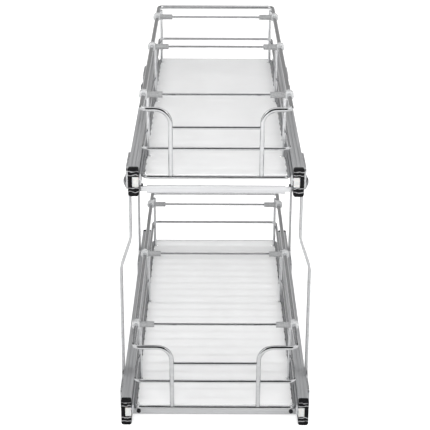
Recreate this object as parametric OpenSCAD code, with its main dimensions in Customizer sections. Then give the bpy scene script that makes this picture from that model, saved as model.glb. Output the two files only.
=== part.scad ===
// Two-tier pull-out cabinet basket, in millimetres.
// X runs across the cabinet, +Y goes to its back and Z is up from the cabinet floor.
// Each tier is a pair of slotted rails, closed by moulded caps and tied by two folded
// cross bars. A welded wire basket hangs between the rails on two runners and slides
// forwards. Four strap legs with a joggle carry the narrower upper tier on the lower one,
// and wire dividers clip onto the rim of each basket.

/* [Frame] */
// Width over the rails of the lower tier
lower_w = 210; // [190:1:300]
// Width over the rails of the upper tier
upper_w = 187; // [175:1:290]
// Length of a tier over its end caps
tier_len = 500; // [470:1:600]
// Distance that the upper tier sits behind the lower one
upper_setback = 20; // [0:1:24]
// Height of the upper tier's feet above the floor
upper_base = 267; // [250:1:340]

/* [Rails] */
// Width of a rail
rail_w = 11.6; // [11:0.1:13]
// Height of a rail's section
rail_h = 28.5; // [28:0.5:34]
// Wall between a rail's slot and its outer flank
rail_web = 4.2; // [4:0.1:4.8]
// Wall round the hollow flanges of a rail
rail_wall = 1.4; // [1.2:0.1:1.7]
// Height of the slot's lower face above the tier's feet
slot_z = 10; // [9.8:0.1:11]
// Height of the slot
slot_h = 12; // [11.6:0.1:13]
// Width of the decorative grooves along a rail
rail_groove_w = 1; // [0.6:0.1:1.4]
// Depth of the decorative grooves along a rail
rail_groove_d = 0.5; // [0.3:0.1:0.8]

/* [Caps] */
// Height of the feet under the rails
foot_h = 3; // [2.5:0.1:3.6]
// Length of a cap's foot under its rail
foot_len = 16; // [10:1:18]
// Thickness of a cap's plate
cap_t = 5; // [4:0.5:6.5]
// Height that a cap stands above its rail
cap_rise = 0.5; // [0.2:0.1:1.2]
// Corner radius at the top of a cap
cap_top_r = 2; // [1:0.5:3]
// Corner radius at the foot of a cap
cap_foot_r = 3; // [1.5:0.5:4]
// Length of the pegs that hold a cap in its rail
peg_len = 7; // [5:0.5:8]
// Gap between a peg and its chamber
peg_gap = 0.1; // [0.05:0.05:0.2]
// Gap above and below a runner in a front cap
cap_gap = 0.2; // [0.15:0.05:0.35]
// Width of the lines moulded across a cap's face
cap_line_w = 0.8; // [0.5:0.1:1.2]
// Depth of the lines moulded across a cap's face
cap_line_d = 0.6; // [0.3:0.1:1]
// Distances of those lines above the foot, above the slot and below the rail's top
cap_line_steps = [1.8, 2.3, 4.2]; // [0.5:0.1:5]

/* [Runners] */
// Gap between a runner's tube and the sides of the slot
tube_side_gap = 0.3; // [0.2:0.05:0.5]
// Gap between a runner's tube and the slot above and below it
tube_lift_gap = 0.4; // [0.35:0.05:0.6]
// Wall of a runner's tube
tube_wall = 1.2; // [1:0.1:1.6]
// Gap between a rail's inner face and a runner's plate
plate_gap = 0.6; // [0.4:0.1:1]
// Thickness of the plate that carries the basket
plate_t = 1.8; // [1.4:0.1:2.4]
// Height of the plate's lower edge above the slot's lower face
plate_lift = 2.3; // [2:0.1:3]
// Height of the plate's upper edge above the bottom wire's axis
plate_rise = 3.3; // [2.5:0.1:5]
// Height of the neck between the tube and the plate
neck_h = 3; // [2:0.5:5]
// Distance of the neck below the top of the tube
neck_drop = 1; // [0.5:0.1:2]
// Thickness of the head of a front plug
plug_t = 1.5; // [1:0.1:2.5]
// Distance of a front plug behind the face of its cap
plug_inset = 0.6; // [0.2:0.1:1.5]
// Length of the nylon glide at the back end of a runner
glide_len = 14; // [10:1:24]
// Gap between a glide and the slot
glide_gap = 0.15; // [0.1:0.05:0.25]
// Length of the spigots of plugs and glides inside the tube
spigot_len = 9; // [6:1:14]
// Gap between a spigot and the tube
spigot_gap = 0.1; // [0.05:0.05:0.2]
// Gap between a glide and the back cap when the basket is in
stop_gap = 0.3; // [0.2:0.1:1]
// Distance that a basket pulls out
travel = 320; // [250:5:360]
// Diameter of the pins that stop a basket at full travel
stop_pin_d = 3.6; // [3:0.1:4]
// Height of a stop pin above its runner's tube
stop_pin_proud = 0.9; // [0.6:0.05:1]
// Gap round a stop pin in its groove
stop_pin_gap = 0.2; // [0.15:0.05:0.3]

/* [Basket] */
// Distance of a basket's front wire behind the face of the caps
basket_inset = 3; // [2.6:0.1:6]
// Distance of a basket's back wire from the back of the tier
basket_rear = 17; // [10:1:30]
// Height of the bottom wire's axis above the tier's feet
basket_floor = 21; // [20:0.5:26]
// Height of the mid wire above the bottom wire
mid_rise = 30.5; // [22:0.5:40]
// Height of the guard wire above the bottom wire
guard_rise = 55; // [48:1:57]
// Height of the rim above the bottom wire
rim_rise = 75; // [75:1:120]
// Diameter of the rim wire
rim_d = 5; // [4:0.5:6]
// Diameter of the bottom wire
bottom_d = 4; // [3.5:0.5:5]
// Diameter of the side wires, the mid wire and the guard wire
side_d = 3.5; // [3:0.1:4]
// Diameter of the floor wires
floor_d = 2.5; // [2:0.1:3]
// Greatest spacing of the floor wires
floor_pitch = 21; // [18:0.5:24]
// Corner radius of the rim, the mid wire and the bottom wire
corner_r = 8; // [7:0.5:12]
// Bend radius at the foot of the side wires
side_bend_r = 3.5; // [3:0.5:5]
// Height of the side wires' ends above the rim's axis
side_end = 1; // [0.4:0.1:1.6]
// Distance of the rim's front uprights from the middle
upright_x = 48; // [40:1:55]
// Radius of the curves from the rim's shoulders to its uprights
shoulder_r = 16; // [10:1:16]
// Depth that welded wires sink into each other
weld = 0.3; // [0.2:0.05:0.4]
// Thickness of the liner
liner_t = 1.2; // [0.8:0.1:2]
// Gap between the liner and the wires round it
liner_gap = 0.5; // [0.2:0.1:2]
// Corner radius of the liner
liner_r = 6; // [4:1:12]

/* [Dividers] */
// Distances of the lower dividers in front of the side wires
lower_leads = [5.6, 11.3, 23.5]; // [5.6:0.1:40]
// Distances of the upper dividers in front of the side wires
upper_leads = [8.6, 10.3, 39]; // [5.6:0.1:40]
// Diameter of a divider's rod
rod_d = 3; // [2.5:0.1:4]
// Depth of the rod in its clips
rod_seat = 12; // [8:1:14]
// Tightness of the rod in its clips, on diameter
rod_press = 0.06; // [0.02:0.02:0.1]
// Wall of a clip's ring
ring_wall = 2.65; // [2:0.05:3.2]
// Width of a clip's ring along the rim
ring_w = 6.6; // [5:0.1:6.8]
// Gap between a clip and the rim
ring_gap = 0.1; // [0.04:0.02:0.1]
// Width of the mouth that snaps over the rim
ring_mouth = 3.8; // [3:0.1:4.4]
// Diameter of a clip's sleeve
sleeve_d = 6.8; // [6:0.1:6.8]
// Length of a clip's sleeve beyond its ring
sleeve_len = 15; // [14:1:20]

/* [Legs] */
// Thickness of the strap
leg_t = 2.3; // [1.8:0.1:3]
// Width of a leg's upright
leg_w = 18; // [14:1:24]
// Length that a leg's tabs reach in front of its upright
tab_len = 36; // [30:1:44]
// Height of a leg's tabs
tab_h = 25; // [20:0.5:25]
// Height of the tabs' lower edges above the feet of their tiers
tab_z = 6; // [4:0.5:6]
// Distance of the front legs' tabs behind the face of the lower tier
leg_front = 24; // [24:1:60]
// Distance of the rear legs from the back of the lower tier
leg_rear = 64; // [40:1:100]
// Height at which the joggle starts
joggle_low = 164; // [120:1:180]
// Height at which the joggle ends
joggle_high = 199; // [195:1:225]
// Bend radius of the joggle, to the middle of the strap
joggle_r = 6; // [4:0.5:12]
// Radius between a leg's upright and its tabs
leg_fillet = 10; // [4:1:16]
// Corner radius of the strap's ends
leg_corner_r = 4; // [2:0.5:6]
// Distance of a bolt behind the front end of its tab
leg_bolt_y = 9; // [8:0.5:14]
// Height of a bolt above the feet of its tier
leg_bolt_z = 13; // [12.5:0.1:13.4]

/* [Cross bars] */
// Thickness of the cross bars and brackets
bar_t = 1.8; // [1.4:0.1:2]
// Height of a cross bar's underside above the tier's feet
bar_z = 1.2; // [0.6:0.1:1.3]
// Height of a cross bar's web
bar_h = 9.5; // [9:0.1:10]
// Depth of a cross bar's flange, front to back
bar_flange = 15; // [13:0.5:20]
// Inner bend radius of the cross bars and brackets
bar_bend = 1; // [0.6:0.1:1.2]
// Length of the step at each end of a web
bar_step_len = 8; // [6:0.5:10]
// Depth of the step at each end of a web
bar_step_h = 1.2; // [0.8:0.1:1.4]
// Distance of the lower cross bars from the ends of their tier
lower_bar_inset = 20; // [17:0.5:30]
// Distance of the upper cross bars from the ends of their tier
upper_bar_inset = 4.5; // [3:0.5:8]
// Length of a corner bracket behind the web
bracket_len = 12; // [11:0.5:20]
// Gap between the corner brackets and the bend of their bar
bracket_gap = 0.1; // [0.05:0.05:0.3]
// Distance of the rail screws behind the web of a lower bar
rail_screw_back = 8; // [7:0.5:12]
// Distance of a screw from the end of its ear or bracket
screw_edge = 5; // [4:0.5:6]
// Half the distance between the floor screws of a cross bar
floor_screw_x = 60; // [40:1:64]
// Diameter of the holes for the floor screws
floor_screw_d = 4.5; // [4:0.1:5]

/* [Fasteners] */
// Diameter of the leg bolts and leg screws
bolt_d = 5; // [4:0.1:5]
// Diameter of the domed heads of the upper leg bolts
bolt_head_d = 14; // [11:0.5:15]
// Height of the domed heads of the upper leg bolts
bolt_head_h = 3.4; // [2.6:0.1:4]
// Height of the flat rim round a domed head, and its width
bolt_rim = 1; // [0.6:0.1:1.4]
// Wall left between the hole of a leg bolt and the slot of its rail
bolt_floor = 1; // [0.8:0.1:1.4]
// Width of the hex sockets in the domed heads, across corners
bolt_hex = 4.6; // [4:0.1:5.5]
// Diameter of the countersunk heads of the lower leg screws
csk_d = 9.2; // [8:0.1:10]
// Width of the hex sockets in the countersunk heads, across corners
csk_hex = 3.4; // [3:0.1:4]
// Diameter of the bar screws and bracket screws
screw_d = 3; // [2.5:0.1:3.4]
// Diameter of the heads of the bar screws and bracket screws
screw_head_d = 4.8; // [4.6:0.1:5.4]
// Height of the heads of the bar screws and bracket screws
screw_head_h = 1.9; // [1.4:0.1:2.4]
// Width of the hex sockets in those heads, across corners
screw_hex = 2.4; // [2:0.1:2.8]
// Length of a rail screw beyond the wall that it holds in
screw_tip = 1; // [0.5:0.5:3]
// Gap round a thread in its hole
thread_gap = 0.05; // [0.03:0.01:0.08]
// Gap round a bolt or screw in a plate that it passes through
pass_gap = 0.2; // [0.1:0.05:0.4]

/* [Hidden] */
$fn = 32;
eps = 0.01;
// Distance that cuts run past the faces that they open
cut = 1;

chrome = "#d5d7da";
satin_aluminium = "#b9bbbe";
strap_steel = "#c6c8ca";
black_plastic = "#111214";
white_nylon = "#e4e5e6";
grey_plastic = "#a9abad";
frosted_sheet = [0.93, 0.94, 0.95, 0.6];
zinc = "#9fa2a6";

left = -1;
right = 1;

// A tier is [half width over the rails, y of its front, z of its feet, inset of its bars,
// leads of its dividers].
overall_len = tier_len + upper_setback;
lower = [lower_w / 2, -overall_len / 2, 0, lower_bar_inset, lower_leads];
upper = [upper_w / 2, -overall_len / 2 + upper_setback, upper_base, upper_bar_inset,
         upper_leads];
function half_w(t) = t[0];
function front_y(t) = t[1];
function base_z(t) = t[2];
function bar_inset(t) = t[3];
function leads(t) = t[4];

// Section of a rail, measured inwards from its outer flank and up from the feet.
rail_top = foot_h + rail_h;
slot_top = slot_z + slot_h;
cap_h = rail_top + cap_rise;
chamber_w = rail_w - rail_web - rail_wall;
chambers = [[foot_h + rail_wall, slot_z - rail_wall],
            [slot_top + rail_wall, rail_top - rail_wall]];
cap_lines = [foot_h + cap_line_steps[0], slot_top + cap_line_steps[1],
             rail_top - cap_line_steps[2]];
stop_pin_z = slot_top - tube_lift_gap - tube_wall - stop_pin_d / 2;

// Runner, measured in the same way.
tube_x = rail_web + tube_side_gap;
tube_w = rail_w - rail_web - 2 * tube_side_gap;
tube_z = slot_z + tube_lift_gap;
tube_h = slot_h - 2 * tube_lift_gap;
plate_x = rail_w + plate_gap;
plate_z = slot_z + plate_lift;
runner_y = plug_inset + plug_t;
runner_end = tier_len - cap_t - stop_gap - glide_len;
stop_pin_y = cap_t + travel + stop_pin_d / 2;

// Basket, measured from the middle of the tier and back from the basket's front wire.
basket_len = tier_len - basket_inset - basket_rear;
bed_z = basket_floor + floor_d / 2;
mid_z = basket_floor + mid_rise;
guard_z = basket_floor + guard_rise;
rim_z = basket_floor + rim_rise;
side_foot_z = bed_z - side_d / 2;
mid_front = (rim_d + side_d) / 2 - weld;
function bottom_x(t) = half_w(t) - plate_x - plate_t + weld - bottom_d / 2;
function side_x(t) = bottom_x(t) - (bottom_d + side_d) / 2 + weld;
function mid_x(t) = side_x(t) + side_d - weld;
function rim_x(t) = side_x(t) + (rim_d + side_d) / 2 - weld;
function liner_half_w(t) = bottom_x(t) - bottom_d / 2 - liner_gap;

// Floor wires and side wires share one even grid. The side wires take the third place,
// the middle one and the last.
floor_gaps = ceil(basket_len / floor_pitch);
floor_step = basket_len / floor_gaps;
side_places = [3, round((2 + floor_gaps) / 2), floor_gaps - 1];
floor_places = [for (k = [1:floor_gaps - 1]) if (len(search(k, side_places)) == 0) k];

// Legs, in the frame of the lower tier.
leg_len = tab_len + leg_w;
leg_starts = [leg_front, tier_len - leg_rear - leg_len];
leg_bottom = tab_z;
leg_top = upper_base + tab_z + tab_h;
bolt_reach = rail_web - bolt_floor;
clear_d = bolt_d + 2 * pass_gap;
thread_d = bolt_d - 2 * thread_gap;
function leg_y_in(t, y) = y + front_y(lower) - front_y(t);

// Cross bars, measured back from the front of the web.
bar_top = bar_z + bar_h;
ear_z = bar_z + bar_t + bar_bend + bracket_gap;
ear_h = bar_top - bar_step_h - ear_z;
screw_z = ear_z + ear_h / 2;
bend_mid_r = bar_bend + bar_t / 2;
function bar_half_w(t) = half_w(t) - rail_w;
function rail_screw_y(t) = max(bar_inset(t) + bar_t + rail_screw_back,
                               cap_t + peg_len + screw_d);
function ear_len(t) = rail_screw_y(t) + screw_edge - bar_inset(t);
web_screw_x = bar_half_w(lower) - bracket_len + screw_edge;
floor_screw_y = bar_t + (bar_flange - bar_t) / 2;

// Dividers
ring_r = rim_d / 2 + ring_gap;
ring_out = ring_r + ring_wall;

// Points [a, b] of the child outline go to X and Z, drawn out along Y.
module along_y(y, length)
    translate([0, y + length, 0]) rotate([90, 0, 0]) linear_extrude(length) children();

// Points [a, b] of the child outline go to Y and Z, drawn out along X.
module along_x(x, length)
    translate([x, 0, 0]) rotate([90, 0, 90]) linear_extrude(length) children();

// A cylinder along X from x, or along Y from y.
module rod_x(x, length, d)
    translate([x, 0, 0]) rotate([0, 90, 0]) cylinder(h = length, d = d);
module rod_y(y, length, d)
    translate([0, y, 0]) rotate([-90, 0, 0]) cylinder(h = length, d = d);

// Moves what is drawn in a tier's frame to its place in the unit.
module in_tier(t) translate([0, front_y(t), base_z(t)]) children();

// Moves what is drawn from x = 0 inwards to the outer flank of a tier's rail.
module on_flank(t, side) {
    if (side == left) translate([-half_w(t), 0, 0]) children();
    else mirror([1, 0, 0]) translate([-half_w(t), 0, 0]) children();
}

// Repeats the children at both ends of a tier, the second time reversed.
module both_ends() {
    children();
    from_back() children();
}
module from_back() translate([0, tier_len, 0]) mirror([0, 1, 0]) children();

module both_sides() {
    children();
    mirror([1, 0, 0]) children();
}

// Rectangle with rounded corners, r = [radius below, radius above].
module rounded_rect(size, r) {
    translate([0, r[0]]) square([size.x, size.y - r[0] - r[1]]);
    translate([r[0], 0]) square([size.x - 2 * r[0], r[0] + eps]);
    translate([r[1], size.y - r[1] - eps]) square([size.x - 2 * r[1], r[1] + eps]);
    for (x = [r[0], size.x - r[0]]) translate([x, r[0]]) circle(r[0]);
    for (x = [r[1], size.x - r[1]]) translate([x, size.y - r[1]]) circle(r[1]);
}

// Unit direction of the path p from its point i to the next.
function way(p, i) = (p[i + 1] - p[i]) / norm(p[i + 1] - p[i]);

// Turn of the path at its point i, positive to the left.
function turn(p, i) = atan2(cross(way(p, i - 1), way(p, i)), way(p, i - 1) * way(p, i));

// Offset that puts point i at a distance of 1 to the left of the path on both sides of it.
function mitre(p, i) =
    let (d0 = way(p, max(i - 1, 0)), d1 = way(p, min(i, len(p) - 2)))
    [-d0.y - d1.y, d0.x + d1.x] / (1 + d0 * d1);

// Centre of the bend of middle radius r at point i of the path.
function bend_centre(p, i, r) = p[i] + sign(turn(p, i)) * r * mitre(p, i);

// Kite from that centre to the corner of the path, drawn out to grow times its size.
module bend_kite(p, i, r, grow) {
    reach = r * tan(abs(turn(p, i)) / 2);
    side = sign(turn(p, i));
    kite = [p[i] - side * reach * way(p, i - (1 + side) / 2), p[i],
            p[i] + side * reach * way(p, i - (1 - side) / 2)];
    polygon([[0, 0], for (q = kite) grow * (q - bend_centre(p, i, r))]);
}

// Section of sheet of thickness w folded along the path p, with middle radius r: a strip
// with mitred corners, rounded inside and outside each bend.
module folded_sheet(p, w, r) {
    last = len(p) - 1;
    bends = [for (i = [1:last - 1]) if (abs(turn(p, i)) > eps) i];
    difference() {
        union() {
            polygon([for (i = [0:last]) p[i] - w / 2 * mitre(p, i),
                     for (i = [last:-1:0]) p[i] + w / 2 * mitre(p, i)]);
            for (i = bends) translate(bend_centre(p, i, r)) bend_kite(p, i, r, 1);
        }
        for (i = bends) translate(bend_centre(p, i, r)) {
            circle(r - w / 2);
            difference() {
                bend_kite(p, i, r, 2);
                circle(r + w / 2);
            }
        }
    }
}

// Fasteners, drawn with the head above z = 0 and the shank below

module hex_socket(d, depth, top)
    translate([0, 0, top - depth]) cylinder(h = depth + eps, d = d, $fn = 6);

module dome_bolt(length) {
    dome_h = bolt_head_h - bolt_rim;
    dome_r = bolt_head_d / 2 - bolt_rim;
    ball = (dome_r * dome_r + dome_h * dome_h) / (2 * dome_h);
    translate([0, 0, -length]) cylinder(h = length + eps, d = thread_d);
    difference() {
        union() {
            cylinder(h = bolt_rim, d = bolt_head_d);
            rotate_extrude() intersection() {
                translate([0, bolt_head_h - ball]) circle(ball, $fn = 96);
                translate([0, bolt_rim - eps]) square([dome_r, dome_h + eps]);
            }
        }
        hex_socket(bolt_hex, bolt_head_h / 2, bolt_head_h);
    }
}

module pan_screw(length) {
    translate([0, 0, -length]) cylinder(h = length + eps, d = screw_d - 2 * thread_gap);
    difference() {
        cylinder(h = screw_head_h, d = screw_head_d);
        hex_socket(screw_hex, screw_head_h / 2, screw_head_h);
    }
}

// Rails

// Grooves cut all along a rail: two in the top and one above the slot.
module rail_grooves() {
    for (k = [1, 2]) translate([k * rail_w / 3 - rail_groove_w / 2, rail_top - rail_groove_d])
        square([rail_groove_w, rail_groove_d + cut]);
    translate([rail_w - rail_groove_d, (slot_top + rail_top - rail_groove_w) / 2])
        square([rail_groove_d + cut, rail_groove_w]);
}

module rail_section() {
    pin_room = stop_pin_d + 2 * stop_pin_gap;
    difference() {
        translate([0, foot_h]) square([rail_w, rail_h]);
        translate([rail_web, slot_z]) square([rail_w, slot_h]);
        translate([tube_x - stop_pin_proud - stop_pin_gap, stop_pin_z - pin_room / 2])
            square([rail_w, pin_room]);
        for (c = chambers) translate([rail_web, c[0]]) square([chamber_w, c[1] - c[0]]);
        rail_grooves();
    }
}

module rail(t, side) color(satin_aluminium) in_tier(t) on_flank(t, side) difference() {
    along_y(cap_t, tier_len - 2 * cap_t) rail_section();
    for (y = leg_starts) translate([0, leg_y_in(t, y) + leg_bolt_y, leg_bolt_z])
        rod_x(-eps, bolt_reach + thread_gap + eps, bolt_d);
    both_ends() translate([0, rail_screw_y(t), screw_z])
        rod_x(rail_w - rail_wall - eps, rail_wall + cut, screw_d);
}

// Caps

module cap(open) {
    difference() {
        union() {
            along_y(0, cap_t) rounded_rect([rail_w, cap_h], [cap_foot_r, cap_top_r]);
            along_y(cap_t - eps, foot_len - cap_t + eps) intersection() {
                rounded_rect([rail_w, cap_h], [cap_foot_r, cap_top_r]);
                square([rail_w, foot_h]);
            }
            for (c = chambers) translate([rail_web + peg_gap, cap_t - eps, c[0] + peg_gap])
                cube([chamber_w - 2 * peg_gap, peg_len + eps, c[1] - c[0] - 2 * peg_gap]);
        }
        for (z = cap_lines) translate([-cut, -cut, z])
            cube([rail_w + 2 * cut, cut + cap_line_d, cap_line_w]);
        if (open) translate([rail_web, -cut, tube_z - cap_gap])
            cube([rail_w, cap_t + 2 * cut, tube_h + 2 * cap_gap]);
    }
}

module front_caps(t) color(black_plastic) in_tier(t)
    for (side = [left, right]) on_flank(t, side) cap(true);

module rear_caps(t) color(black_plastic) in_tier(t)
    for (side = [left, right]) on_flank(t, side) from_back() cap(false);

// Cross bars

// Web and flange of a bar, from -half to half.
module bar_angle(half) along_x(-half, 2 * half)
    folded_sheet([[bar_t / 2, bar_top], [bar_t / 2, bar_z + bar_t / 2],
                  [bar_flange, bar_z + bar_t / 2]], bar_t, bend_mid_r);

// Ends stepped down at the top of the web.
module bar_steps(half) both_sides() translate([half - bar_step_len, -cut, bar_top - bar_step_h])
    cube([bar_step_len + cut, bar_t + 2 * cut, bar_step_h + cut]);

// Bar of the lower tier: square ends, held by brackets, with holes for the floor screws.
module bracket_bar(t) {
    half = bar_half_w(t);
    translate([0, bar_inset(t), 0]) difference() {
        bar_angle(half);
        bar_steps(half);
        both_sides() {
            translate([web_screw_x, -cut, screw_z])
                rod_y(0, bar_t + 2 * cut, screw_d + 2 * pass_gap);
            translate([floor_screw_x, floor_screw_y, 0]) cylinder(h = bar_top, d = floor_screw_d);
        }
    }
}

// Bar of the upper tier: its ends turn back into ears along the rails.
module eared_bar(t) {
    half = bar_half_w(t);
    end = half - bar_t / 2;
    translate([0, bar_inset(t), 0]) difference() {
        union() {
            bar_angle(half - bar_step_len);
            translate([0, 0, ear_z]) linear_extrude(ear_h)
                folded_sheet([[-end, ear_len(t)], [-end, bar_t / 2], [end, bar_t / 2],
                              [end, ear_len(t)]], bar_t, bend_mid_r);
        }
        both_sides() translate([half - bar_t - cut, rail_screw_y(t) - bar_inset(t), screw_z])
            rod_x(0, bar_t + 2 * cut, screw_d + 2 * pass_gap);
    }
}

module front_bar(t) color(satin_aluminium) in_tier(t) bar(t);
module rear_bar(t) color(satin_aluminium) in_tier(t) from_back() bar(t);
module bar(t) {
    if (t == lower) bracket_bar(t);
    else eared_bar(t);
}

// Angle that ties a lower bar to a rail.
module corner_bracket(t) {
    half = bar_half_w(t);
    face = bar_inset(t) + bar_t;
    end = half - bar_t / 2;
    difference() {
        translate([0, 0, ear_z]) linear_extrude(ear_h)
            folded_sheet([[end, rail_screw_y(t) + screw_edge], [end, face + bar_t / 2],
                          [half - bracket_len, face + bar_t / 2]], bar_t, bend_mid_r);
        translate([web_screw_x, face - cut, screw_z]) rod_y(0, bar_t + 2 * cut, screw_d);
        translate([half - bar_t - cut, rail_screw_y(t), screw_z])
            rod_x(0, bar_t + 2 * cut, screw_d + 2 * pass_gap);
    }
}

module corner_brackets(t) color(satin_aluminium) in_tier(t) both_ends() both_sides()
    corner_bracket(t);

// Screws through a lower bar's web into its brackets.
module web_screws(t) color(black_plastic) in_tier(t) both_ends() both_sides()
    translate([web_screw_x, bar_inset(t), screw_z]) rotate([90, 0, 0]) pan_screw(2 * bar_t);

// Screws through ears or brackets into the rails.
module rail_screws(t) color(zinc) in_tier(t) both_ends() both_sides()
    translate([bar_half_w(t) - bar_t, rail_screw_y(t), screw_z]) rotate([0, -90, 0])
        pan_screw(bar_t + rail_wall + screw_tip);

// Legs

// Outline of a leg seen from the side: an upright with a tab forwards at each end.
module leg_outline() {
    height = leg_top - leg_bottom;
    corners = [leg_corner_r, leg_corner_r];
    translate([0, leg_bottom]) {
        for (z = [0, height - tab_h]) translate([0, z]) rounded_rect([leg_len, tab_h], corners);
        translate([tab_len, 0]) rounded_rect([leg_w, height], corners);
        translate([0, tab_h]) tab_fillet();
        translate([0, height - tab_h]) mirror([0, 1, 0]) tab_fillet();
    }
}

// Fills the corner between the upright and the tab below it.
module tab_fillet() translate([tab_len - leg_fillet, 0]) difference() {
    translate([0, -eps]) square(leg_fillet + eps);
    translate([0, leg_fillet]) circle(leg_fillet);
}

module leg(side, y) {
    low_x = half_w(lower) + leg_t / 2;
    high_x = half_w(upper) + leg_t / 2;
    reach = max(low_x, high_x) + leg_t;
    color(strap_steel) in_tier(lower) scale_x(side) translate([0, y, 0]) difference() {
        intersection() {
            along_y(0, leg_len) folded_sheet([[low_x, leg_bottom], [low_x, joggle_low],
                                              [high_x, joggle_high], [high_x, leg_top]],
                                             leg_t, joggle_r);
            along_x(0, reach) leg_outline();
        }
        translate([half_w(upper) - cut, leg_bolt_y, upper_base + leg_bolt_z])
            rod_x(0, leg_t + 2 * cut, clear_d);
        translate([half_w(lower) - cut, leg_bolt_y, leg_bolt_z])
            rod_x(0, leg_t + 2 * cut, clear_d);
        translate([half_w(lower) + leg_t, leg_bolt_y, leg_bolt_z]) rotate([0, -90, 0])
            csk_cone(clear_d);
    }
}

module scale_x(side) {
    if (side == right) children();
    else mirror([1, 0, 0]) children();
}

// Countersink from z = 0 up, narrowing at 45 degrees to the shank's diameter.
module csk_cone(d_low) cylinder(h = (csk_d - d_low) / 2, d1 = csk_d, d2 = d_low);

module leg_fixings(t) for (side = [left, right]) scale_x(side) for (y = leg_starts)
    translate([half_w(t) + leg_t, leg_y_in(t, y) + leg_bolt_y, leg_bolt_z]) rotate([0, 90, 0])
        children();

module upper_leg_bolts() color(zinc) in_tier(upper) leg_fixings(upper)
    dome_bolt(leg_t + bolt_reach - thread_gap);

module lower_leg_screws() color(zinc) in_tier(lower) leg_fixings(lower) csk_screw();

// Countersunk screw, flush with the strap.
module csk_screw() {
    length = leg_t + bolt_reach - thread_gap;
    difference() {
        union() {
            translate([0, 0, -length]) cylinder(h = length, d = thread_d);
            intersection() {
                mirror([0, 0, 1]) csk_cone(thread_d);
                translate([0, 0, -leg_t]) cylinder(h = leg_t, d = csk_d - 4 * thread_gap);
            }
        }
        hex_socket(csk_hex, (csk_d - thread_d) / 4, 0);
    }
}

// Runners

module runner_section() {
    neck_z = tube_z + tube_h - neck_drop - neck_h;
    plate_top = basket_floor + plate_rise;
    difference() {
        translate([tube_x, tube_z]) square([tube_w, tube_h]);
        translate([tube_x + tube_wall, tube_z + tube_wall])
            square([tube_w - 2 * tube_wall, tube_h - 2 * tube_wall]);
    }
    translate([tube_x + tube_w - eps, neck_z]) square([plate_x - tube_x - tube_w + 2 * eps, neck_h]);
    translate([plate_x, plate_z]) square([plate_t, plate_top - plate_z]);
}

module runner(t, side) color(satin_aluminium) in_tier(t) on_flank(t, side) difference() {
    along_y(runner_y, runner_end - runner_y) runner_section();
    translate([0, stop_pin_y, stop_pin_z]) rod_x(tube_x - cut, tube_wall + cut, stop_pin_d - rod_press);
}

// Block with a spigot for the runner's tube, gap = [beside, above] the slot's faces.
module tube_fitting(size, spigot_y) {
    translate([rail_web + (rail_w - rail_web - size.x) / 2, 0, slot_z + (slot_h - size.z) / 2])
        cube(size);
    inner = tube_wall + spigot_gap;
    translate([tube_x + inner, spigot_y, tube_z + inner])
        cube([tube_w - 2 * inner, spigot_len + eps, tube_h - 2 * inner]);
}

module front_plugs(t) color(white_nylon) in_tier(t) for (side = [left, right])
    on_flank(t, side) translate([0, plug_inset, 0])
        tube_fitting([tube_w, plug_t, tube_h], plug_t - eps);

module rear_glides(t) color(white_nylon) in_tier(t) for (side = [left, right])
    on_flank(t, side) translate([0, runner_end, 0])
        tube_fitting([rail_w - rail_web - 2 * glide_gap, glide_len, slot_h - 2 * glide_gap],
                     -spigot_len);

module stop_pins(t) color(zinc) in_tier(t) for (side = [left, right]) on_flank(t, side)
    translate([0, stop_pin_y, stop_pin_z])
        rod_x(tube_x - stop_pin_proud, stop_pin_proud + tube_wall, stop_pin_d);

// Basket

// Quarter bend of a wire in the XY plane, round the origin, from angle a.
module bend(r, d, a) rotate([0, 0, a]) rotate_extrude(angle = 90) translate([r, 0]) circle(d = d);

// Straight sides of a loop and its two back corners.
module loop_back(half, y0, y1, r, d) {
    both_sides() {
        translate([half, 0, 0]) rod_y(y0 + r, y1 - y0 - 2 * r, d);
        translate([half - r, y1 - r, 0]) bend(r, d, 0);
    }
    translate([0, y1, 0]) rod_x(-(half - r), 2 * (half - r), d);
}

// Closed rectangular loop of wire from y0 to y1.
module loop(half, y0, y1, r, d) {
    loop_back(half, y0, y1, r, d);
    both_sides() translate([half - r, y0 + r, 0]) bend(r, d, -90);
    translate([0, y0, 0]) rod_x(-(half - r), 2 * (half - r), d);
}

module in_basket(t, z) in_tier(t) translate([0, basket_inset, z]) children();

// Rim: a loop whose front drops in two curves to uprights that end on the bottom wire.
module rim(t) color(chrome) in_basket(t, rim_z) {
    half = rim_x(t);
    curve_x = upright_x + shoulder_r;
    foot = rim_rise - bottom_d / 2 + weld;
    loop_back(half, 0, basket_len, corner_r, rim_d);
    both_sides() {
        translate([half - corner_r, corner_r, 0]) bend(corner_r, rim_d, -90);
        rod_x(curve_x, half - corner_r - curve_x, rim_d);
        translate([curve_x, 0, -shoulder_r]) rotate([90, 0, 0]) bend(shoulder_r, rim_d, 90);
        translate([upright_x, 0, -foot]) cylinder(h = foot - shoulder_r, d = rim_d);
    }
}

module mid_wire(t) color(chrome) in_basket(t, mid_z)
    loop(mid_x(t), mid_front, basket_len - rim_x(t) + mid_x(t), corner_r, side_d);

module bottom_wire(t) color(chrome) in_basket(t, basket_floor)
    loop(bottom_x(t), 0, basket_len, corner_r, bottom_d);

module guard_wire(t) color(chrome) in_basket(t, guard_z) {
    half = upright_x - rim_d / 2 + weld;
    rod_x(-half, 2 * half, side_d);
}

// One U-shaped wire, from rim to rim under the liner.
module side_wire(t) {
    half = side_x(t);
    r = side_bend_r;
    both_sides() {
        translate([half, 0, side_foot_z + r])
            cylinder(h = rim_z + side_end - side_foot_z - r, d = side_d);
        translate([half - r, 0, side_foot_z + r]) rotate([90, 0, 0]) bend(r, side_d, -90);
    }
    translate([0, 0, side_foot_z]) rod_x(-(half - r), 2 * (half - r), side_d);
}

module side_wires(t) color(chrome) in_basket(t, 0)
    for (k = side_places) translate([0, k * floor_step, 0]) side_wire(t);

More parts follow.
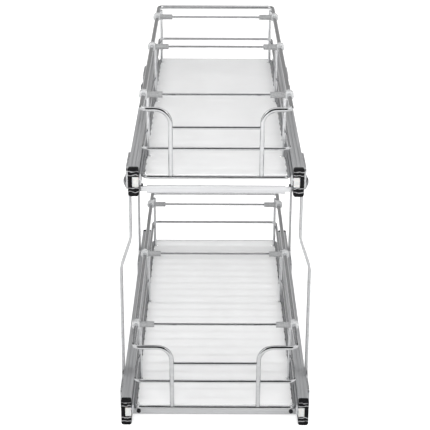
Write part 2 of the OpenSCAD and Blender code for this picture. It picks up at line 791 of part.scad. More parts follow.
module floor_wires(t) color(chrome) in_basket(t, basket_floor) {
    half = bottom_x(t) - bottom_d / 2 + weld;
    for (k = floor_places) translate([0, k * floor_step, 0]) rod_x(-half, 2 * half, floor_d);
}

// Liner: a sheet on the floor wires, notched round the side wires.
module liner(t) color(frosted_sheet) in_basket(t, bed_z) {
    half = liner_half_w(t);
    edge = bottom_d / 2 + liner_gap;
    notch = side_d + 2 * liner_gap;
    notch_end = side_x(t) - side_bend_r - liner_gap;
    linear_extrude(liner_t) difference() {
        translate([-half, edge])
            rounded_rect([2 * half, basket_len - 2 * edge], [liner_r, liner_r]);
        for (k = side_places) both_sides()
            translate([notch_end, k * floor_step - notch / 2]) square([half, notch]);
    }
}

// Dividers

module at_divider(t, i) in_basket(t, rim_z)
    translate([0, side_places[i] * floor_step - leads(t)[i], 0]) children();

module divider_rod(t, i) color(chrome) at_divider(t, i) {
    half = rim_x(t) - ring_out - sleeve_len + rod_seat;
    rod_x(-half, 2 * half, rod_d);
}

// Clip: a ring that snaps over the rim from above, and a sleeve for the rod.
module clip(t) {
    sleeve_start = ring_out + sleeve_len;
    translate([rim_x(t), 0, 0]) difference() {
        union() {
            rod_y(-ring_w / 2, ring_w, 2 * ring_out);
            rod_x(-sleeve_start, sleeve_start, sleeve_d);
        }
        rod_y(-ring_w, 2 * ring_w, 2 * ring_r);
        translate([-ring_mouth / 2, -ring_w, -ring_out - cut])
            cube([ring_mouth, 2 * ring_w, ring_out + cut]);
        rod_x(-sleeve_start - cut, rod_seat + cut, rod_d - rod_press);
    }
}

module divider_clips(t, i) color(grey_plastic) at_divider(t, i) both_sides() clip(t);

rail(lower, left);  // lower_rail_left
rail(lower, right);  // lower_rail_right
rail(upper, left);  // upper_rail_left
rail(upper, right);  // upper_rail_right
front_caps(lower);  // lower_front_caps
rear_caps(lower);  // lower_rear_caps
front_caps(upper);  // upper_front_caps
rear_caps(upper);  // upper_rear_caps
front_bar(lower);  // lower_front_bar
rear_bar(lower);  // lower_rear_bar
front_bar(upper);  // upper_front_bar
rear_bar(upper);  // upper_rear_bar
corner_brackets(lower);  // lower_corner_brackets
web_screws(lower);  // lower_bar_screws
rail_screws(lower);  // lower_bracket_screws
rail_screws(upper);  // upper_bar_screws
leg(left, leg_starts[0]);  // front_leg_left
leg(right, leg_starts[0]);  // front_leg_right
leg(left, leg_starts[1]);  // rear_leg_left
leg(right, leg_starts[1]);  // rear_leg_right
upper_leg_bolts();
lower_leg_screws();
rim(lower);  // lower_rim
mid_wire(lower);  // lower_mid_wire
bottom_wire(lower);  // lower_bottom_wire
guard_wire(lower);  // lower_guard_wire
side_wires(lower);  // lower_side_wires
floor_wires(lower);  // lower_floor_wires
liner(lower);  // lower_liner
runner(lower, left);  // lower_runner_left
runner(lower, right);  // lower_runner_right
front_plugs(lower);  // lower_front_plugs
rear_glides(lower);  // lower_rear_glides
stop_pins(lower);  // lower_stop_pins
rim(upper);  // upper_rim
mid_wire(upper);  // upper_mid_wire
bottom_wire(upper);  // upper_bottom_wire
guard_wire(upper);  // upper_guard_wire
side_wires(upper);  // upper_side_wires
floor_wires(upper);  // upper_floor_wires
liner(upper);  // upper_liner
runner(upper, left);  // upper_runner_left
runner(upper, right);  // upper_runner_right
front_plugs(upper);  // upper_front_plugs
rear_glides(upper);  // upper_rear_glides
stop_pins(upper);  // upper_stop_pins
divider_rod(lower, 0);  // lower_divider_rod_front
divider_rod(lower, 1);  // lower_divider_rod_middle
divider_rod(lower, 2);  // lower_divider_rod_rear
divider_clips(lower, 0);  // lower_divider_clips_front
divider_clips(lower, 1);  // lower_divider_clips_middle
divider_clips(lower, 2);  // lower_divider_clips_rear
divider_rod(upper, 0);  // upper_divider_rod_front
divider_rod(upper, 1);  // upper_divider_rod_middle
divider_rod(upper, 2);  // upper_divider_rod_rear
divider_clips(upper, 0);  // upper_divider_clips_front
divider_clips(upper, 1);  // upper_divider_clips_middle
divider_clips(upper, 2);  // upper_divider_clips_rear
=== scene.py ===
import bmesh
import bpy
import numpy as np
from math import cos, pi, radians, sin, tan
from mathutils import Matrix, Vector


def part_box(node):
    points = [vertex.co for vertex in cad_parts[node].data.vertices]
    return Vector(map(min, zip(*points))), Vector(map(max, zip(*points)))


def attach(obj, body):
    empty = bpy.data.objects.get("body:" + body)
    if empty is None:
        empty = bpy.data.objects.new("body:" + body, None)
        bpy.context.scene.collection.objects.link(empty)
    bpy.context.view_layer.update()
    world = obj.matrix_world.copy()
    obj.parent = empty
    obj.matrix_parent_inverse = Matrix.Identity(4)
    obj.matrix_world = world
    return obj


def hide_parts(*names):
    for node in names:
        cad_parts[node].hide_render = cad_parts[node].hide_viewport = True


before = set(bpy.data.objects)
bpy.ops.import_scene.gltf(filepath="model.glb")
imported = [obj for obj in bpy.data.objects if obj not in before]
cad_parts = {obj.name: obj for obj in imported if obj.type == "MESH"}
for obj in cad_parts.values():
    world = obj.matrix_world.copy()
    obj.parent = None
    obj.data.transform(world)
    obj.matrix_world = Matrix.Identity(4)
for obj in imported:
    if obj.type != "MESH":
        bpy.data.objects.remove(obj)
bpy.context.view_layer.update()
scene = bpy.context.scene
scene.view_settings.view_transform = "Standard"
mm = 0.001
tiers = ("lower", "upper")
dividers = ("front", "middle", "rear")

# Camera: metres, radians, and millimetres for the lens.
photoView = {"lens": 109.18, "sensor": 36.0, "clip": (0.05, 60),
             "place": (-0.00484, -1.5363, 0.7609),
             "pitch": 0.378, "yaw": 0.003, "roll": 0.0053}


def placeCamera(view):
    # It looks ahead, yaw to the right of +Y and pitch below the level.
    yaw, pitch, roll = view["yaw"], view["pitch"], view["roll"]
    level = Vector((cos(yaw), -sin(yaw), 0))
    ahead = Vector((sin(yaw) * cos(pitch), cos(yaw) * cos(pitch), -sin(pitch)))
    over = Vector((sin(yaw) * sin(pitch), cos(yaw) * sin(pitch), cos(pitch)))
    right = level * cos(roll) + over * sin(roll)
    up = over * cos(roll) - level * sin(roll)
    data = bpy.data.cameras.new("photoCamera")
    data.lens, data.sensor_width = view["lens"], view["sensor"]
    data.clip_start, data.clip_end = view["clip"]
    camera = bpy.data.objects.new("photoCamera", data)
    turn = Matrix((right, up, -ahead)).transposed().to_4x4()
    camera.matrix_world = Matrix.Translation(view["place"]) @ turn
    scene.collection.objects.link(camera)
    scene.camera = camera


placeCamera(photoView)
print("camera placed")

# Materials. Each finish is a noise pattern on Object coordinates, stretched along the
# grain, that tints the colour, sets the roughness and raises a slight bump. The pairs
# say where on the noise the tint and the roughness begin and end.
pattern = {"roughness": 0.62, "tint": (0.3, 0.72), "polish": (0.3, 0.7),
           "reliefDetail": 3, "reliefDepth": 0.2 * mm}


def addNode(tree, kind, inputs, **settings):
    # Each input gets a number or colour, or a link from another node's output.
    node = tree.nodes.new("ShaderNode" + kind)
    for key, value in settings.items():
        setattr(node, key, value)
    for socket, value in inputs.items():
        if isinstance(value, bpy.types.NodeSocket):
            tree.links.new(value, node.inputs[socket])
        else:
            node.inputs[socket].default_value = value
    return node


def maths(tree, operation, *values):
    # A sum on numbers and on other nodes' outputs
    return addNode(tree, "Math", dict(enumerate(values)), operation=operation).outputs[0]


def paintedHighlightLines(tree, place, colour, lines):
    # Painted highlights: thin grey lines across the front face of a moulding, each a little
    # wavy, standing in for the glints on its moulded steps. With
    # away = |z + wave * (noise - 0.5) - height|, a line is full inside its core and
    # fades out at its width. It shows only where y is before the given plane.
    point = addNode(tree, "SeparateXYZ", {0: place}).outputs
    ripple = addNode(tree, "TexNoise", {"Vector": place, "Scale": lines["rippleScale"],
                                        "Detail": 0}).outputs["Fac"]
    swing = maths(tree, "MULTIPLY", maths(tree, "SUBTRACT", ripple, 0.5), lines["wave"])
    height = maths(tree, "ADD", point["Z"], swing)
    highlightMask = None
    for level in lines["heights"]:
        away = maths(tree, "ABSOLUTE", maths(tree, "SUBTRACT", height, level))
        near = addNode(tree, "MapRange", {"Value": away, "From Min": lines["width"],
                                          "From Max": lines["core"]},
                       interpolation_type="SMOOTHSTEP").outputs["Result"]
        highlightMask = maths(tree, "MAXIMUM", highlightMask, near) if highlightMask else near
    ahead = maths(tree, "LESS_THAN", point["Y"], lines["plane"])
    highlightMask = maths(tree, "MULTIPLY", highlightMask, ahead)
    blend = addNode(tree, "Mix", {"Factor": highlightMask, "A": colour, "B": (*lines["colour"], 1)},
                    data_type="RGBA")
    return blend.outputs["Result"]


def paintedSleeveShade(tree, place, colour, sleeve):
    # Painted shade: the moulded sleeve, nearer the middle than the given |x|, is painted
    # darker than its ring, though the clip is one grey plastic.
    point = addNode(tree, "SeparateXYZ", {0: place}).outputs
    shade = addNode(tree, "MapRange", {"Value": maths(tree, "ABSOLUTE", point["X"]),
                                       "From Min": sleeve["end"] - sleeve["blend"],
                                       "From Max": sleeve["end"] + sleeve["blend"],
                                       "To Min": sleeve["shade"]})
    return addNode(tree, "VectorMath", {0: colour, "Scale": shade.outputs["Result"]},
                   operation="SCALE").outputs[0]


def finish(name, look):
    # look gives plain socket values, the dark and light tints, and the roughness and
    # grain of the pattern. Higher grain numbers are finer.
    material = bpy.data.materials.new(name)
    material.use_nodes = True
    tree = material.node_tree
    place = addNode(tree, "TexCoord", {}).outputs["Object"]
    grain = addNode(tree, "Mapping", {"Vector": place,
                                      "Scale": look["grain"]}).outputs["Vector"]
    noise = addNode(tree, "TexNoise", {"Vector": grain, "Scale": 1.0,
                                       "Detail": look["detail"],
                                       "Roughness": pattern["roughness"]}).outputs["Fac"]
    tint = addNode(tree, "ValToRGB", {"Fac": noise})
    for stop, position, tone in zip(tint.color_ramp.elements, pattern["tint"],
                                    (look["dark"], look["light"])):
        stop.position, stop.color = position, (*tone, 1)
    colour = tint.outputs["Color"]
    # Painted highlight lines, where the look has them
    if "lines" in look:
        colour = paintedHighlightLines(tree, place, colour, look["lines"])
    # Painted shade on the clip's sleeve, where the look has it
    if "sleeve" in look:
        colour = paintedSleeveShade(tree, place, colour, look["sleeve"])
    polish = addNode(tree, "MapRange", {
        "Value": noise, "From Min": pattern["polish"][0], "From Max": pattern["polish"][1],
        "To Min": look["rough"][0], "To Max": look["rough"][1]})
    relief = addNode(tree, "TexNoise", {
        "Vector": grain if look.get("reliefAlongGrain") else place,
        "Scale": look["reliefScale"], "Detail": pattern["reliefDetail"]})
    bump = addNode(tree, "Bump", {"Height": relief.outputs["Fac"],
                                  "Strength": look["relief"],
                                  "Distance": pattern["reliefDepth"]})
    shader = tree.nodes["Principled BSDF"]
    for socket, value in look["plain"].items():
        shader.inputs[socket].default_value = value
    tree.links.new(colour, shader.inputs["Base Color"])
    tree.links.new(polish.outputs["Result"], shader.inputs["Roughness"])
    tree.links.new(bump.outputs["Normal"], shader.inputs["Normal"])
    return material


chromeWire = finish("chromeWire", {
    "plain": {"Metallic": 1.0},
    "dark": (0.60, 0.605, 0.615), "light": (0.70, 0.705, 0.715), "rough": (0.02, 0.05),
    "grain": (240, 240, 240), "detail": 4, "relief": 0.006, "reliefScale": 420})

# Rails and runners are drawn along Y, the bars along X.
satinAluminium = finish("satinAluminium", {
    "plain": {"Metallic": 0.62},
    "dark": (0.40, 0.405, 0.415), "light": (0.58, 0.585, 0.595), "rough": (0.26, 0.40),
    "grain": (900, 9, 900), "detail": 4, "relief": 0.07, "reliefScale": 2.2,
    "reliefAlongGrain": True})

foldedAluminium = finish("foldedAluminium", {
    "plain": {"Metallic": 0.5},
    "dark": (0.51, 0.515, 0.525), "light": (0.64, 0.645, 0.655), "rough": (0.28, 0.42),
    "grain": (9, 700, 700), "detail": 4, "relief": 0.09, "reliefScale": 2.2,
    "reliefAlongGrain": True})

strapSteel = finish("strapSteel", {
    "plain": {"Metallic": 0.85},
    "dark": (0.50, 0.505, 0.515), "light": (0.57, 0.575, 0.585), "rough": (0.25, 0.33),
    "grain": (500, 500, 90), "detail": 3, "relief": 0.02, "reliefScale": 300})

# The painted highlight lines on the caps are at these steps above the foot, and reach
# just behind the bottom of the grooves.
blackPlastic = {
    "plain": {"Metallic": 0.0, "Specular IOR Level": 0.12},
    "dark": (0.002, 0.002, 0.0025), "light": (0.005, 0.005, 0.006), "rough": (0.10, 0.24),
    "grain": (160, 160, 160), "detail": 5, "relief": 0.35, "reliefScale": 260}
capHighlightLines = {"steps": (4.9, 9.2, 24.0, 27.7), "width": 0.6 * mm, "core": 0.18 * mm,
            "wave": 2.6 * mm, "rippleScale": 240.0, "depth": 0.7 * mm,
            "colour": (0.30, 0.30, 0.305)}
capPlastic = {}
for tier in tiers:
    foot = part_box(tier + "_front_caps")[0]
    lines = dict(capHighlightLines, heights=[foot.z + step * mm for step in capHighlightLines["steps"]],
                 plane=foot.y + capHighlightLines["depth"])
    capPlastic[tier] = finish("capPlastic" + tier.capitalize(),
                              dict(blackPlastic, lines=lines))

whiteNylon = finish("whiteNylon", {
    "plain": {"Metallic": 0.0, "Subsurface Weight": 0.08, "Subsurface Scale": 0.002},
    "dark": (0.42, 0.42, 0.415), "light": (0.53, 0.53, 0.52), "rough": (0.32, 0.48),
    "grain": (300, 300, 300), "detail": 4, "relief": 0.2, "reliefScale": 700})

greyPlastic = {
    "plain": {"Metallic": 0.0, "IOR": 1.5},
    "dark": (0.34, 0.345, 0.35), "light": (0.62, 0.625, 0.63), "rough": (0.24, 0.42),
    "grain": (800, 800, 800), "detail": 4, "relief": 0.25, "reliefScale": 600}
# The clips' painted shade: how far the ring reaches in from the outer end, the blend, and the
# share of colour left on the sleeve
clipRing = {"across": 9.0 * mm, "blend": 0.4 * mm, "shade": 0.52}
clipPlastic = {}
for tier in tiers:
    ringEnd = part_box(tier + "_divider_clips_front")[1].x - clipRing["across"]
    clipPlastic[tier] = finish("clipPlastic" + tier.capitalize(),
                               dict(greyPlastic, sleeve=dict(clipRing, end=ringEnd)))

frostedSheet = {
    "dark": (0.835, 0.837, 0.84), "light": (0.87, 0.872, 0.875), "rough": (0.34, 0.52),
    "grain": (60, 60, 60), "detail": 6, "relief": 0.3, "reliefScale": 1400}
sheetAlpha = {"lower": 0.66, "upper": 0.78}
liners = {}
for tier in tiers:
    plain = {"Metallic": 0.0, "Alpha": sheetAlpha[tier], "IOR": 1.46}
    liners[tier] = finish("frostedSheet" + tier.capitalize(),
                          dict(frostedSheet, plain=plain))

zincPlate = finish("zincPlate", {
    "plain": {"Metallic": 1.0},
    "dark": (0.20, 0.205, 0.215), "light": (0.34, 0.345, 0.36), "rough": (0.22, 0.38),
    "grain": (420, 420, 420), "detail": 5, "relief": 0.15, "reliefScale": 900})

blackOxide = finish("blackOxide", {
    "plain": {"Metallic": 0.7},
    "dark": (0.012, 0.012, 0.014), "light": (0.05, 0.05, 0.055), "rough": (0.28, 0.45),
    "grain": (500, 500, 500), "detail": 4, "relief": 0.2, "reliefScale": 900})
print("finishes mixed")

# Shapes of the wires


def bentPath(corners, bend, steps=12):
    # Straight runs from corner to corner. At each inner corner an arc of radius bend,
    # tangent to both runs: centre + bend * (u sin a - n cos a), a from 0 to the turn.
    corners = np.asarray(corners, float)
    points = [corners[:1]]
    for before, here, after in zip(corners[:-2], corners[1:-1], corners[2:]):
        u = (here - before) / np.linalg.norm(here - before)
        v = (after - here) / np.linalg.norm(after - here)
        angle = np.arccos(np.clip(u @ v, -1, 1))
        n = (v - u * cos(angle)) / sin(angle)
        centre = here - u * bend * tan(angle / 2) + n * bend
        a = np.linspace(0, angle, steps + 1)[:, None]
        points.append(centre + bend * (u * np.sin(a) - n * np.cos(a)))
    points.append(corners[-1:])
    return np.concatenate(points)


firstAcross = (0.31, 0.42, 0.86)  # no wire starts in this direction


def carriedFrames(path, closed):
    # Unit directions along the path, halfway between the runs that meet at a point, and
    # two side vectors that are carried along it without twist: each is the one before,
    # less its part along the path.
    step = np.diff(path, axis=0)
    step /= np.linalg.norm(step, axis=1)[:, None]
    along = np.concatenate([step[:1], step[:-1] + step[1:], step[-1:]])
    if closed:
        along[0], along[-1] = path[1] - path[-1], path[0] - path[-2]
    along /= np.linalg.norm(along, axis=1)[:, None]
    side = np.zeros_like(path)
    carried = np.cross(along[0], firstAcross)
    for k, direction in enumerate(along):
        carried = carried - direction * (carried @ direction)
        carried /= np.linalg.norm(carried)
        side[k] = carried
    return along, side, np.cross(along, side)


def ringFaces(rings, sides, closed=False):
    # Four-sided faces between one ring of points and the next. Rings in a closed loop
    # join up, and others get a fan to a pole at each end, the two points after the last.
    k = np.arange(rings if closed else rings - 1)[:, None] * sides
    j = np.arange(sides)
    ahead, across = (k + sides) % (rings * sides), (j + 1) % sides
    quads = np.stack(np.broadcast_arrays(k + j, k + across, ahead + across, ahead + j), -1)
    if closed:
        return [quads.reshape(-1, 4)]
    pole, last = rings * sides, (rings - 1) * sides
    fans = [np.stack([np.full(sides, pole), across, j], 1),
            np.stack([np.full(sides, pole + 1), last + j, last + across], 1)]
    return [quads.reshape(-1, 4), *fans]


dome = {"rings": (25, 50, 72), "held": 0.15}  # degrees, and a share of the radius


def tube(path, gauge, closed=False):
    # A circle carried along the path: point + r * (side cos t + other sin t). Open ends
    # close in a low dome, r cos b at bulge * r sin b beyond the last circle, and a
    # second circle close behind keeps the shading of the dome off the straight run.
    path = np.array(path, float)
    radius, sides = gauge["thick"] / 2, gauge["sides"]
    if not closed:
        bulge = gauge["bulge"] * radius
        inwards = path[[1, -2]] - path[[0, -1]]
        inwards /= np.linalg.norm(inwards, axis=1)[:, None]
        path[[0, -1]] += bulge * inwards
        held = path[[0, -1]] + dome["held"] * radius * inwards
        path = np.concatenate([path[:1], held[:1], path[1:-1], held[1:], path[-1:]])
    along, side, other = carriedFrames(path, closed)
    widths = np.full(len(path), radius)
    if not closed:
        poles = path[[0, -1]] + bulge * along[[0, -1]] * [[-1], [1]]
        b = np.radians(dome["rings"])
        out, low = bulge * np.sin(b)[:, None], radius * np.cos(b)
        path = np.concatenate([(path[0] - out * along[0])[::-1], path,
                               path[-1] + out * along[-1]])
        widths = np.concatenate([low[::-1], widths, low])
        side, other = (np.pad(across, ((len(b), len(b)), (0, 0)), "edge")
                       for across in (side, other))
    t = np.arange(sides) * 2 * pi / sides
    circle = side[:, None] * np.cos(t)[:, None] + other[:, None] * np.sin(t)[:, None]
    points = (path[:, None] + widths[:, None, None] * circle).reshape(-1, 3)
    if not closed:
        points = np.concatenate([points, poles])
    return points, ringFaces(len(path), sides, closed)


def beads(centres, radii, around=12, over=7):
    # One ellipsoid at each centre: radii * (cos a cos b, cos a sin b, sin a).
    a = np.linspace(-pi / 2, pi / 2, over + 2)[1:-1, None]
    b = np.arange(around) * 2 * pi / around
    unit = np.stack(np.broadcast_arrays(np.cos(a) * np.cos(b), np.cos(a) * np.sin(b),
                                        np.sin(a)), -1).reshape(-1, 3)
    unit = np.concatenate([unit, [[0, 0, -1], [0, 0, 1]]])
    return [(centre + np.asarray(size) * unit, ringFaces(over, around))
            for centre, size in zip(np.asarray(centres), radii)]


def addPiece(name, mesh, body, node=None):
    # Hangs the mesh on its body, in place of the CAD node where it has one.
    piece = bpy.data.objects.new(name, mesh)
    scene.collection.objects.link(piece)
    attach(piece, body)
    if node:
        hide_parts(node)
    return piece


def makeWire(name, parts, body, node=None):
    # One piece from several tubes or beads, each with its points and blocks of faces
    points, faces, offset = [], [], 0
    for partPoints, partFaces in parts:
        points.append(partPoints)
        for block in partFaces:
            faces += (block + offset).tolist()
        offset += len(partPoints)
    mesh = bpy.data.meshes.new(name)
    mesh.from_pydata(np.concatenate(points).tolist(), [], faces)
    mesh.shade_smooth()
    mesh.materials.append(chromeWire)
    addPiece(name, mesh, body, node)


# Baskets. Each wire has its thickness, the sides of its section and the height of its
# domed ends as a share of the radius.
wire = {"rim": {"thick": 5.0 * mm, "sides": 28, "bulge": 0.4},
        "mid": {"thick": 3.5 * mm, "sides": 24},
        "bottom": {"thick": 4.0 * mm, "sides": 24},
        "guard": {"thick": 3.5 * mm, "sides": 24, "bulge": 0.1},
        "side": {"thick": 3.5 * mm, "sides": 24, "bulge": 0.5},
        "floor": {"thick": 2.5 * mm, "sides": 16, "bulge": 0.1},
        "rod": {"thick": 3.0 * mm, "sides": 20, "bulge": 0.4}}
# Radii of the bends, |x| of the rim's uprights, the straight stub beside each shoulder,
# and the even grid that side wires and floor wires share
layout = {"cornerBend": 8.0 * mm, "shoulder": 16.0 * mm, "footBend": 3.5 * mm,
          "footSteps": 10, "upright": 48.0 * mm, "stub": 0.1 * mm,
          "gridGaps": 23, "sidePlaces": (3, 13, 22)}
# Half sizes of the weld beads at the wires that they join, and how deep they sit
bead = {"side": (0.9 * mm, 1.9 * mm, 1.7 * mm), "mid": (2.1 * mm, 0.9 * mm, 1.7 * mm),
        "guard": (0.8 * mm, 1.9 * mm, 1.9 * mm), "bottom": (2.7 * mm, 2.3 * mm, 0.8 * mm),
        "seam": 0.15 * mm, "sunk": 0.1 * mm}


def crossWire(low, high, y, z, gauge):
    # Straight across from low to high x
    return tube([(low.x, y, z), (0, y, z), (high.x, y, z)], gauge)


def ringWire(tier, part):
    # Round the basket in one level loop, from the middle of its front. Gives its height.
    node = f"{tier}_{part}_wire"
    low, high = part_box(node)
    r = wire[part]["thick"] / 2
    half, z = high.x - r, (low.z + high.z) / 2
    y0, y1 = low.y + r, high.y - r
    path = bentPath([(0, y0, z), (half, y0, z), (half, y1, z), (-half, y1, z),
                     (-half, y0, z), (0, y0, z)], layout["cornerBend"])
    makeWire(part + "Wire" + tier.capitalize(), [tube(path[:-1], wire[part], closed=True)],
             tier + "_basket", node)
    return z


def rimWire(tier):
    # Up the left upright, over its shoulder, round the sides and back, and down the
    # right one. Gives the y and z of its front run.
    low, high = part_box(tier + "_rim")
    r = wire["rim"]["thick"] / 2
    half, z = high.x - r, high.z - r
    y0, y1 = low.y + r, high.y - r
    post, bend = layout["upright"], layout["shoulder"]
    stub = (-post - bend - layout["stub"], y0, z)
    rise = bentPath([(-post, y0, low.z), (-post, y0, z), stub], bend)
    around = bentPath([stub, (-half, y0, z), (-half, y1, z), (0, y1, z)],
                      layout["cornerBend"])
    left = np.concatenate([rise, around[1:]])
    right = left[:-1][::-1] * (-1, 1, 1)
    makeWire("rimWire" + tier.capitalize(), [tube(np.concatenate([left, right]), wire["rim"])],
             tier + "_basket", tier + "_rim")
    return y0, z


def basketWires(tier):
    body, bare = tier + "_basket", tier.capitalize()
    midZ, bottomZ = ringWire(tier, "mid"), ringWire(tier, "bottom")
    rimY, rimZ = rimWire(tier)

    low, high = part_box(tier + "_guard_wire")
    guardZ = (low.z + high.z) / 2
    makeWire("guardWire" + bare,
             [crossWire(low, high, (low.y + high.y) / 2, guardZ, wire["guard"])],
             body, tier + "_guard_wire")

    s = wire["side"]["thick"] / 2
    low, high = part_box(tier + "_side_wires")
    sideX, footZ, topZ = high.x - s, low.z + s, high.z
    first, last = low.y + s, high.y - s
    places = layout["sidePlaces"]
    step = (last - first) / (places[-1] - places[0])
    sideY = [first + (k - places[0]) * step for k in places]
    makeWire("sideWires" + bare,
             [tube(bentPath([(-sideX, y, topZ), (-sideX, y, footZ), (sideX, y, footZ),
                             (sideX, y, topZ)], layout["footBend"], layout["footSteps"]),
                   wire["side"]) for y in sideY], body, tier + "_side_wires")

    low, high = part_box(tier + "_floor_wires")
    floorZ = (low.z + high.z) / 2
    floorY = [first + (k - places[0]) * step for k in range(1, layout["gridGaps"])
              if k not in places]
    makeWire("floorWires" + bare,
             [crossWire(low, high, y, floorZ, wire["floor"]) for y in floorY],
             body, tier + "_floor_wires")

    # Weld beads: side wires to the three levels, and each upright to its cross wires
    post, rimR, sunk = layout["upright"], wire["rim"]["thick"] / 2, bead["sunk"]
    seam, levels = sideX + s - bead["seam"], (rimZ, midZ, bottomZ)
    spots, sizes = [], []
    for x in (-1, 1):
        spots += [(x * seam, y, z) for y in sideY for z in levels]
        sizes += [bead["side"]] * (len(sideY) * len(levels))
        spots += [(x * post, rimY + rimR - sunk, midZ),
                  (x * (post - rimR + sunk), rimY, guardZ),
                  (x * post, rimY, bottomZ + wire["bottom"]["thick"] / 2)]
        sizes += [bead["mid"], bead["guard"], bead["bottom"]]
    makeWire("weldBeads" + bare, beads(spots, sizes), body)
    print("wires bent:", tier)


for tier in tiers:
    basketWires(tier)

for tier in tiers:
    for place in dividers:
        node = f"{tier}_divider_rod_{place}"
        low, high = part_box(node)
        rod = crossWire(low, high, (low.y + high.y) / 2, (low.z + high.z) / 2, wire["rod"])
        makeWire("dividerRod" + tier.capitalize() + place.capitalize(), [rod],
                 f"{tier}_{place}_divider", node)
print("divider rods cut")

# Rigid pieces: the CAD form with its edges broken, as extrusion, folding and moulding
# leave them. Each edge has its width and the number of faces over it.
edges = {"rail": (0.25 * mm, 2), "runner": (0.2 * mm, 2), "bar": (0.2 * mm, 2),
         "cap": (0.4 * mm, 3), "plug": (0.25 * mm, 3), "glide": (0.4 * mm, 3),
         "pin": (0.2 * mm, 2), "liner": (0.3 * mm, 2), "clip": (0.35 * mm, 3),
         "leg": (0.35 * mm, 3), "screw": (0.15 * mm, 2)}
# Points this close are merged, faces that turn less than flat are joined, and edges that
# turn more than sharp are broken.
cleaning = {"merge": 0.002 * mm, "flat": radians(0.6), "sharp": radians(32)}


def softened(node, name, material, body, edge=None):
    # A copy of the CAD node, its triangles joined into whole faces before the edges break
    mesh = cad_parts[node].data.copy()
    mesh.name = name
    work = bmesh.new()
    work.from_mesh(mesh)
    bmesh.ops.remove_doubles(work, verts=work.verts, dist=cleaning["merge"])
    bmesh.ops.dissolve_degenerate(work, edges=work.edges, dist=cleaning["merge"])
    bmesh.ops.dissolve_limit(work, angle_limit=cleaning["flat"], verts=work.verts,
                             edges=work.edges)
    work.to_mesh(mesh)
    work.free()
    mesh.materials.clear()
    mesh.materials.append(material)
    mesh.shade_smooth()
    mesh.set_sharp_from_angle(angle=cleaning["sharp"])
    piece = addPiece(name, mesh, body, node)
    if edge:
        broken = piece.modifiers.new("brokenEdges", "BEVEL")
        broken.width, broken.segments = edge
        broken.limit_method = "ANGLE"
        broken.angle_limit = cleaning["sharp"]
        broken.use_clamp_overlap = True
        broken.harden_normals = True


for tier in tiers:
    bare, basket = tier.capitalize(), tier + "_basket"
    for side in ("left", "right"):
        hand = side.capitalize()
        softened(f"{tier}_rail_{side}", f"rail{bare}{hand}", satinAluminium, "frame",
                 edges["rail"])
        softened(f"{tier}_runner_{side}", f"runner{bare}{hand}", satinAluminium, basket,
                 edges["runner"])
    for end in ("front", "rear"):
        softened(f"{tier}_{end}_caps", f"{end}Caps{bare}", capPlastic[tier], "frame",
                 edges["cap"])
        softened(f"{tier}_{end}_bar", f"{end}Bar{bare}", foldedAluminium, "frame",
                 edges["bar"])
    softened(tier + "_front_plugs", "frontPlugs" + bare, whiteNylon, basket,
             edges["plug"])
    softened(tier + "_rear_glides", "rearGlides" + bare, whiteNylon, basket,
             edges["glide"])
    softened(tier + "_stop_pins", "stopPins" + bare, zincPlate, basket,
             edges["pin"])
    softened(tier + "_liner", "liner" + bare, liners[tier], basket,
             edges["liner"])
    for place in dividers:
        softened(f"{tier}_divider_clips_{place}", f"clips{bare}{place.capitalize()}",
                 clipPlastic[tier], f"{tier}_{place}_divider", edges["clip"])
print("rails, runners, caps and clips dressed")

for end in ("front", "rear"):
    for side in ("left", "right"):
        softened(f"{end}_leg_{side}", f"{end}Leg{side.capitalize()}", strapSteel, "frame",
                 edges["leg"])
softened("lower_corner_brackets", "cornerBrackets", foldedAluminium, "frame",
         edges["bar"])
softened("lower_bar_screws", "barScrews", blackOxide, "frame",
         edges["screw"])
softened("lower_bracket_screws", "bracketScrews", zincPlate, "frame",
         edges["screw"])
softened("upper_bar_screws", "earScrews", zincPlate, "frame", edges["screw"])
softened("upper_leg_bolts", "legBolts", zincPlate, "frame", edges["screw"])
softened("lower_leg_screws", "legScrews", zincPlate, "frame")
print("legs and screws dressed")

# Studio: a pale floor, a softbox at each side and a lamp in front. The metal shows a dark
# surround with bright sides, and a panel overhead that lights nothing else.
floorPlan = {"half": 14.0, "colour": (0.66, 0.66, 0.66), "glow": 0.6}
# How bright the surround is where a shiny surface looks (dark, back, sides) and where it
# lights the object (fill, above). Each patch fades in between two cosines of the angle
# to its direction.
surround = {"dark": 0.0, "fill": 1.05,
            "back": {"level": 0.34, "towards": (0, 0.96, 0.10), "fade": (0.82, 0.94)},
            "left": {"level": 0.95, "towards": (-1, -0.1, 0.25), "fade": (0.72, 0.88)},
            "right": {"level": 0.95, "towards": (1, -0.1, 0.25), "fade": (0.72, 0.88)},
            "above": {"level": 0.22, "towards": (0, 0, 1), "fade": (0.4, 0.95)}}
# Places and sizes in metres. A lamp that shows is seen in the metal.
lamps = {"leftSoftbox": {"place": (-2.0, -0.3, 1.2), "target": (0, 0, 0.1),
                         "size": (3.4, 1.3), "watts": 40, "shows": False, "lights": True},
         "rightSoftbox": {"place": (2.0, -0.3, 1.2), "target": (0, 0, 0.1),
                          "size": (3.4, 1.3), "watts": 40, "shows": False, "lights": True},
         "frontLamp": {"place": (0, -2.3, 0.95), "target": (0, 0, 0.15),
                       "size": (0.9, 0.6), "watts": 32, "shows": False, "lights": True},
         "overheadPanel": {"place": (0, 0.15, 0.85), "target": (0, 0.15, 0),
                           "size": (1.6, 1.15), "watts": 5, "shows": True, "lights": False}}


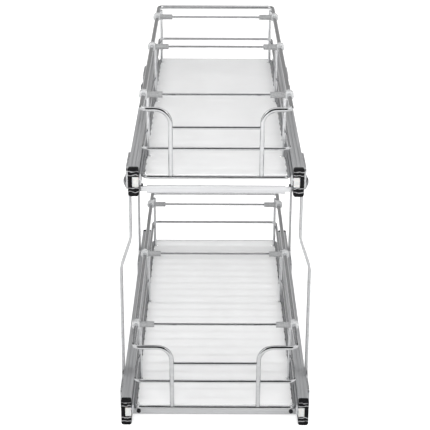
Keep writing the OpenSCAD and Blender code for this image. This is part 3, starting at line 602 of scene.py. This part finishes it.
def layFloor(plan):
    size = plan["half"]
    corners = [(-size, -size, 0), (size, -size, 0), (size, size, 0), (-size, size, 0)]
    mesh = bpy.data.meshes.new("floor")
    mesh.from_pydata(corners, [], [(0, 1, 2, 3)])
    floor = bpy.data.objects.new("floor", mesh)
    scene.collection.objects.link(floor)
    paint = bpy.data.materials.new("palePaint")
    paint.use_nodes = True
    tree = paint.node_tree
    tree.nodes.clear()
    rays = addNode(tree, "LightPath", {}).outputs
    seen = maths(tree, "MAXIMUM", rays["Is Camera Ray"], rays["Is Transmission Ray"])
    glow = addNode(tree, "Emission", {"Color": (1, 1, 1, 1),
                                      "Strength": maths(tree, "MULTIPLY", seen, plan["glow"])})
    plain = addNode(tree, "BsdfDiffuse", {"Color": (*plan["colour"], 1)})
    both = addNode(tree, "AddShader", {0: plain.outputs["BSDF"], 1: glow.outputs["Emission"]})
    addNode(tree, "OutputMaterial", {"Surface": both.outputs["Shader"]})
    mesh.materials.append(paint)


def hangWorld(plan):
    world = bpy.data.worlds.new("studio")
    scene.world = world
    world.use_nodes = True
    tree = world.node_tree
    rays = addNode(tree, "LightPath", {}).outputs
    direction = addNode(tree, "TexCoord", {}).outputs["Generated"]

    def mix(factor, a, b):
        return addNode(tree, "Mix", {"Factor": factor, "A": a, "B": b}).outputs["Result"]

    def addPatch(level, patch):
        dot = addNode(tree, "VectorMath",
                      {0: direction, 1: Vector(patch["towards"]).normalized()},
                      operation="DOT_PRODUCT")
        inside = addNode(tree, "MapRange", {"Value": dot.outputs["Value"],
                                            "From Min": patch["fade"][0],
                                            "From Max": patch["fade"][1]},
                         interpolation_type="SMOOTHSTEP")
        return mix(inside.outputs["Result"], level, patch["level"])

    shiny = plan["dark"]
    for part in ("back", "left", "right"):
        shiny = addPatch(shiny, plan[part])
    level = mix(rays["Is Glossy Ray"], addPatch(plan["fill"], plan["above"]), shiny)
    level = mix(rays["Is Transmission Ray"], level, 1.0)
    level = mix(rays["Is Camera Ray"], level, 1.0)
    back = tree.nodes["Background"]
    back.inputs["Color"].default_value = (1, 1, 1, 1)
    tree.links.new(level, back.inputs["Strength"])


def hangLamp(name, plan):
    data = bpy.data.lights.new(name, "AREA")
    data.shape = "RECTANGLE"
    data.size, data.size_y = plan["size"]
    data.energy = plan["watts"]
    lamp = bpy.data.objects.new(name, data)
    lamp.location = plan["place"]
    aim = Vector(plan["target"]) - Vector(plan["place"])
    lamp.rotation_euler = aim.to_track_quat("-Z", "Y").to_euler()
    lamp.visible_camera = False
    lamp.visible_glossy = plan["shows"]
    lamp.visible_diffuse = plan["lights"]
    lamp.visible_transmission = plan["lights"]
    scene.collection.objects.link(lamp)


layFloor(floorPlan)
hangWorld(surround)
for name, plan in lamps.items():
    hangLamp(name, plan)
print("studio lit")
